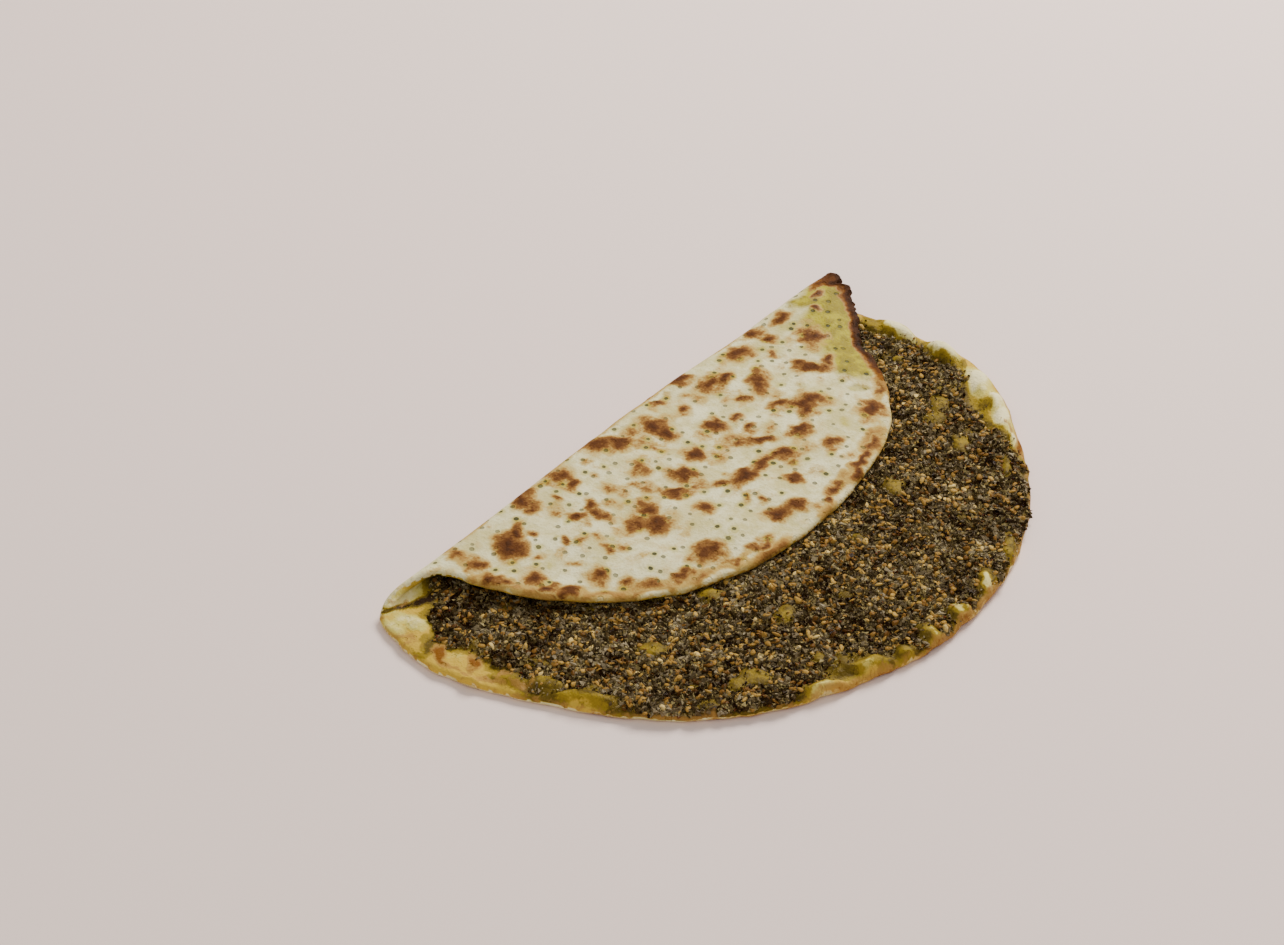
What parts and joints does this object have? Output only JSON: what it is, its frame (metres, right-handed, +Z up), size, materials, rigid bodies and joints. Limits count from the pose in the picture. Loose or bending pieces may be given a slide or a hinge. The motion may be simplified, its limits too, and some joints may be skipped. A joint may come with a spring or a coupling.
{
  "type": "manakish",
  "caption": "Za'atar flatbread folded over itself, with a spotted baked flap and an open herb and sesame topping.",
  "frame": {"origin": "middle of the bounding box in plan, on the floor under the lower layer", "axes": "+X along the fold towards its burnt raised corner, +Y from the open front towards the fold, +Z up"},
  "size_m": [0.2796, 0.1738, 0.0158],
  "materials": {
    "dough": "baked flatbread, cream with brown spots, matt",
    "zaatar": "oily dark green herbs with golden sesame seeds"
  },
  "bodies": {
    "root": {"dough": "dough", "zaatar": "zaatar"}
  },
  "joints": []
}
